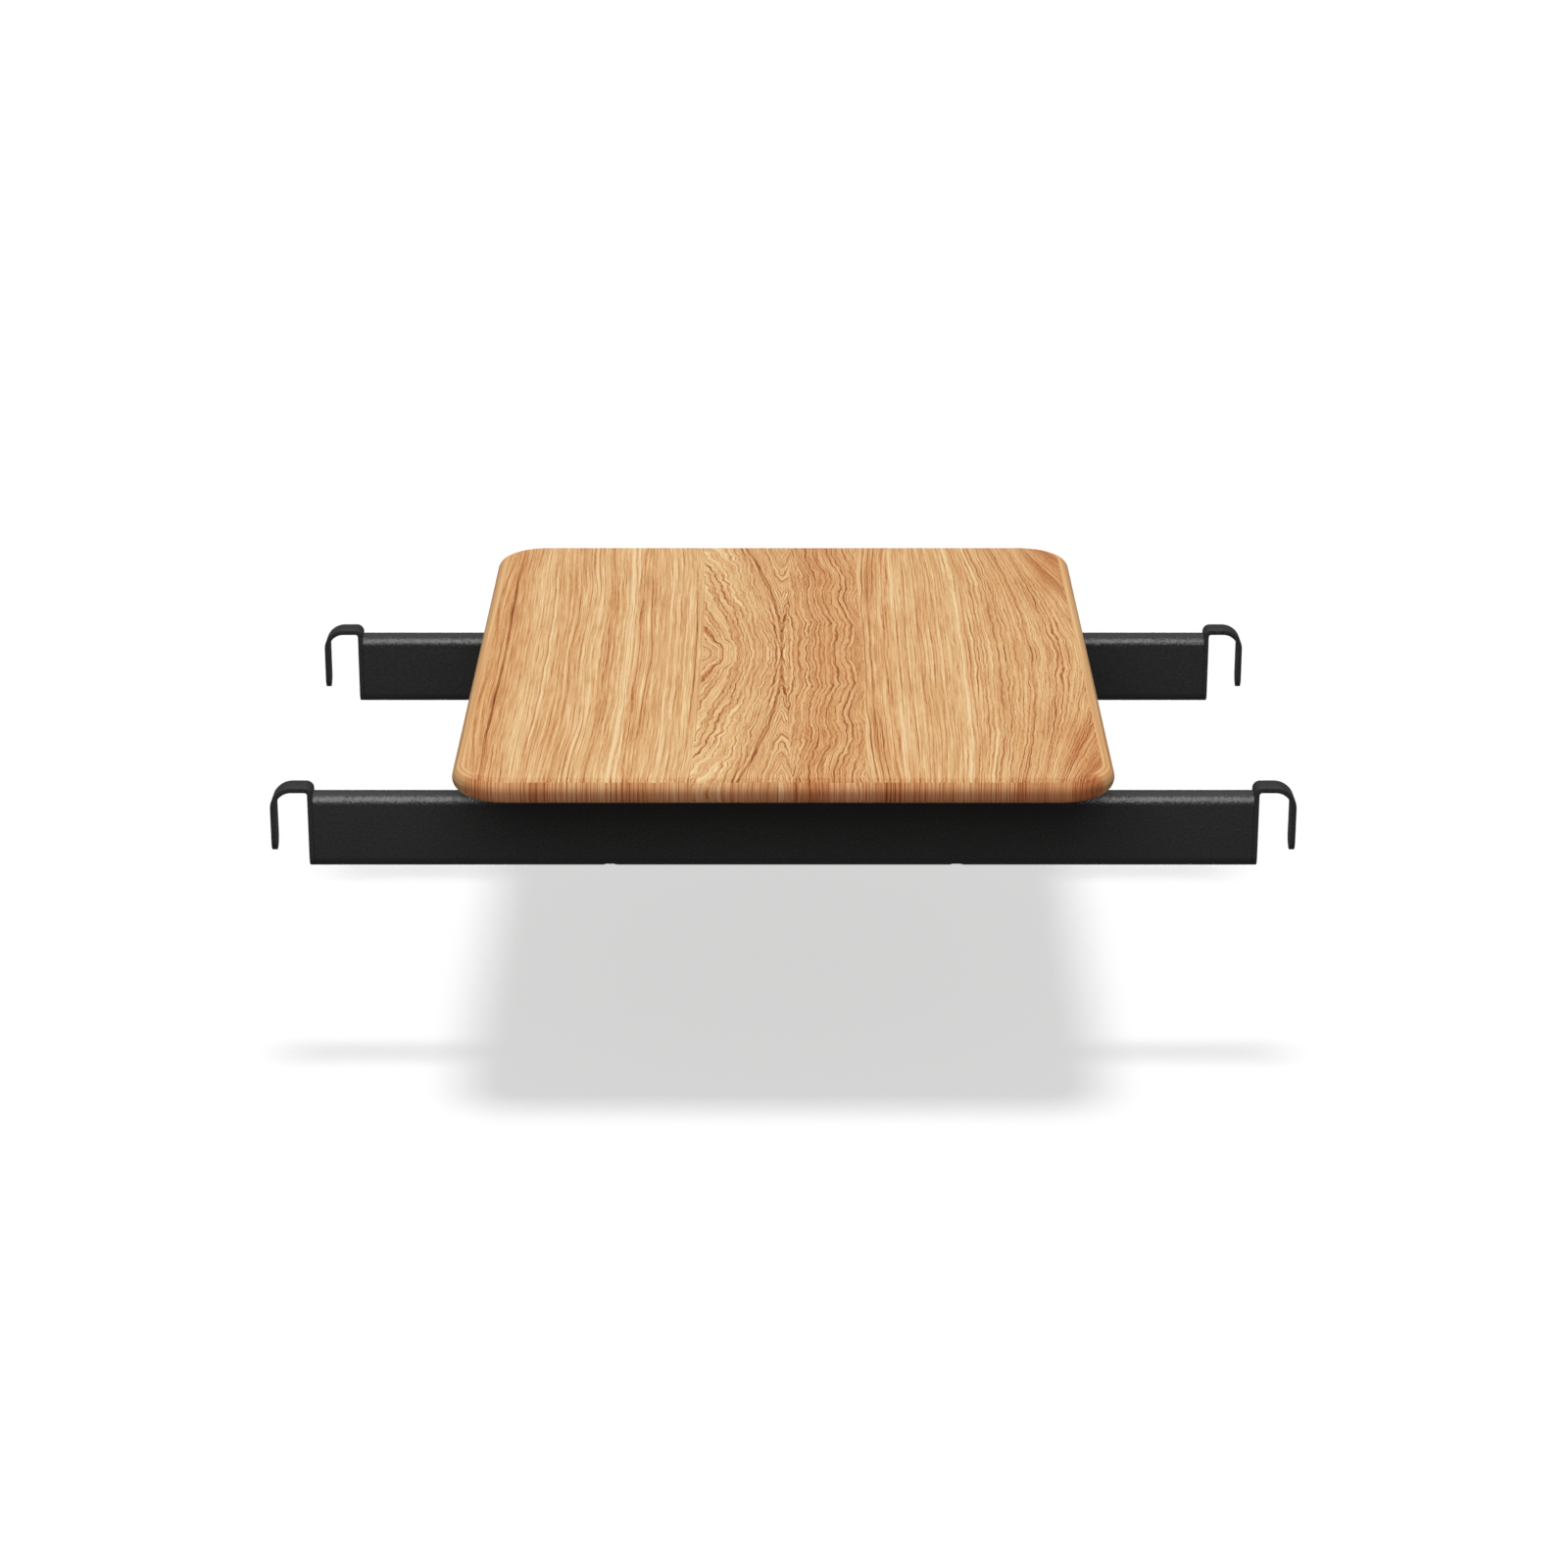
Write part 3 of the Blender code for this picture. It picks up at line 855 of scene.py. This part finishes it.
def turned(name, profile, place, material, edge_break):
    """Runs a closed outline of (radius, height) points round an upright axis, outer side first."""
    mesh = bpy.data.meshes.new(name)
    edges = [(n, (n + 1) % len(profile)) for n in range(len(profile))]
    mesh.from_pydata([(radius, 0.0, height) for radius, height in profile], edges, [])
    mesh.materials.append(material)
    piece = bpy.data.objects.new(name, mesh)
    bpy.context.scene.collection.objects.link(piece)
    screw = piece.modifiers.new("lathe", "SCREW")
    screw.axis = "Z"
    screw.angle = math.tau
    screw.steps = screw.render_steps = TURNED_STEPS
    screw.use_merge_vertices = True
    screw.merge_threshold = WELD_DISTANCE
    bevel = piece.modifiers.new("edge break", "BEVEL")
    bevel.width = edge_break
    bevel.segments = 2
    bevel.limit_method = "ANGLE"
    bevel.angle_limit = math.radians(50)
    as_plain_mesh(piece)
    piece.data.transform(Matrix.Translation((place.x, place.y, 0.0)))
    return piece


def make_post(corner):
    """A sleeve with a flange under the deck and a counterbore for the bolt's head below."""
    low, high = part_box(f"{corner}_post")
    bolt_low, bolt_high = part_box(f"{corner}_bolt")
    flange = (high.x - low.x) / 2
    body = flange - FLANGE_REACH
    bore = BOLT_DIAMETER / 2 + CONTACT_GAP
    recess = (bolt_high.x - bolt_low.x) / 2 + CONTACT_GAP
    seat = bolt_low.z + BOLT_HEAD_HEIGHT + CONTACT_GAP
    shoulder = high.z - FLANGE_THICKNESS
    profile = [(flange, high.z), (flange, shoulder), (body, shoulder), (body, low.z),
               (recess, low.z), (recess, seat), (bore, seat), (bore, high.z)]
    post = turned(f"{corner}_sleeve", profile, (low + high) / 2, coat_material, 0.3 * MM)
    settle(post, "black_coat", f"{corner}_post")


for corner in CORNERS:
    make_post(corner)
    for kind, material in (("bolt", bolt_material), ("insert", brass_material)):
        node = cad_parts[f"{corner}_{kind}"]
        node.data.materials.clear()
        node.data.materials.append(material)

# %% [markdown]
# ## The studio
#
# The shelf hangs clear of a pale floor. The floor glows and takes the shadow, but throws no light
# back up, so its brightness can be set without touching the shelf's. Far away a white wall that
# only the camera sees goes all round, so that the horizon stays white from every side.

# %% Floor and backdrop
FLOOR_HEIGHT = -0.165
FLOOR_GREY = 0.15               # how much of a lamp's light the floor returns
FLOOR_GLOW = 0.635              # the brightness it has of its own
FLOOR_REACH = 30.0              # from its middle to each edge
WALL_GLOW = 1.05
WALL_DISTANCE = 29.0
WALL_HEIGHT = 40.0


def paper_surface(name, shape, grey, glow):
    """A glowing paper surface from a bmesh, which lights nothing and shades nothing."""
    mesh = bpy.data.meshes.new(name)
    shape.to_mesh(mesh)
    shape.free()
    thing = bpy.data.objects.new(name, mesh)
    bpy.context.scene.collection.objects.link(thing)
    graph = Graph(f"{name}_paper")
    graph.set(Base_Color=(grey, grey, grey, 1.0), Roughness=0.9, Specular_IOR_Level=0.0,
              Emission_Color=(1.0, 1.0, 1.0, 1.0), Emission_Strength=glow)
    mesh.materials.append(graph.material)
    thing.visible_diffuse = False
    thing.visible_glossy = False
    thing.visible_shadow = False
    return thing


sheet = bmesh.new()
bmesh.ops.create_grid(sheet, x_segments=1, y_segments=1, size=FLOOR_REACH)
bmesh.ops.translate(sheet, verts=sheet.verts, vec=(0.0, 0.0, FLOOR_HEIGHT))
floor = paper_surface("floor", sheet, FLOOR_GREY, FLOOR_GLOW)
wall = bmesh.new()
bmesh.ops.create_cone(wall, segments=48, depth=WALL_HEIGHT,
                      radius1=WALL_DISTANCE, radius2=WALL_DISTANCE)
bmesh.ops.translate(wall, verts=wall.verts, vec=(0.0, 0.0, FLOOR_HEIGHT + WALL_HEIGHT / 2))
backdrop = paper_surface("backdrop", wall, 0.0, WALL_GLOW)
print("floor at", FLOOR_HEIGHT, "m")

# %% [markdown]
# Lamps can be told which things they reach. A sun-like lamp is rated by how bright it makes a white
# surface, which makes the lamps easy to add up. These lamps don't show in glossy surfaces, so that
# the softbox alone draws the highlights. The sky is even overhead and dims towards the horizon and
# below it.

# %% Kinds of light
LAMP_TILT = 2.0                 # degrees from straight above, towards the back
LAMP_SIZE = 14.5                # degrees across, as seen from the shelf
SKY_FADE = (0.3, 0.9)           # between these heights on a unit sphere the sky goes from dim to full


def shine_on(light, things, state):
    """Makes a light reach only these things ("INCLUDE") or all but these ("EXCLUDE")."""
    group = bpy.data.collections.new(f"{light.name}_reach")
    for thing in things:
        group.objects.link(thing)
    for member in group.collection_objects:
        member.light_linking.link_state = state
    light.light_linking.receiver_collection = group


def add_lamp(name, brightness, tilt=-LAMP_TILT):
    """A sun-like lamp. Brightness 1 makes a white surface that faces it exactly white."""
    data = bpy.data.lights.new(name, "SUN")
    data.energy = brightness * math.pi
    data.angle = math.radians(LAMP_SIZE)
    light = bpy.data.objects.new(name, data)
    light.rotation_euler = (math.radians(tilt), 0.0, 0.0)
    light.visible_glossy = False
    bpy.context.scene.collection.objects.link(light)
    return light


def add_softbox(name, place, target, width, height, power):
    data = bpy.data.lights.new(name, "AREA")
    data.shape = "RECTANGLE"
    data.size = width
    data.size_y = height
    data.energy = power
    light = bpy.data.objects.new(name, data)
    light.location = place
    light.rotation_euler = (Vector(target) - Vector(place)).to_track_quat("-Z", "Y").to_euler()
    bpy.context.scene.collection.objects.link(light)
    return light


def add_sky(overhead, below):
    world = bpy.data.worlds.new("studio")
    bpy.context.scene.world = world
    world.use_nodes = True
    nodes, links = world.node_tree.nodes, world.node_tree.links
    coordinates = nodes.new("ShaderNodeTexCoord")
    split = nodes.new("ShaderNodeSeparateXYZ")
    ramp = nodes.new("ShaderNodeMapRange")
    ramp.interpolation_type = "SMOOTHSTEP"
    for label, value in zip(("From Min", "From Max", "To Min", "To Max"), (*SKY_FADE, below, overhead)):
        ramp.inputs[label].default_value = value
    links.new(coordinates.outputs["Generated"], split.inputs[0])
    links.new(split.outputs["Z"], ramp.inputs["Value"])
    links.new(ramp.outputs[0], nodes["Background"].inputs["Strength"])
    nodes["Background"].inputs["Color"].default_value = (1.0, 1.0, 1.0, 1.0)


# %% [markdown]
# The overhead lamp shines on everything. A second one from the same direction is for the floor
# alone and sets how deep the shadow looks. The deck gets two weak helpers, one for the light that
# a white floor would send up to its nose and one from the front. The softbox leaves out the deck
# and the floor: it draws the bright line along the rails' crowns.

# %% Lighting
add_sky(overhead=0.50, below=0.085)
add_lamp("overhead", 0.58)
floor_lamp = add_lamp("floor_lamp", 1.66)
shine_on(floor_lamp, [floor], "INCLUDE")
for name, brightness, tilt in (("bounce_from_floor", 0.10, 150.0), ("front_fill", 0.19, 55.0)):
    shine_on(add_lamp(name, brightness, tilt), [deck], "INCLUDE")
softbox = add_softbox("front_softbox", place=(-0.3, -2.62, 2.50), target=(0.0, -0.2, 0.05),
                      width=3.8, height=2.8, power=112.0)
shine_on(softbox, [floor, deck], "EXCLUDE")
bpy.context.scene.view_settings.view_transform = "Standard"
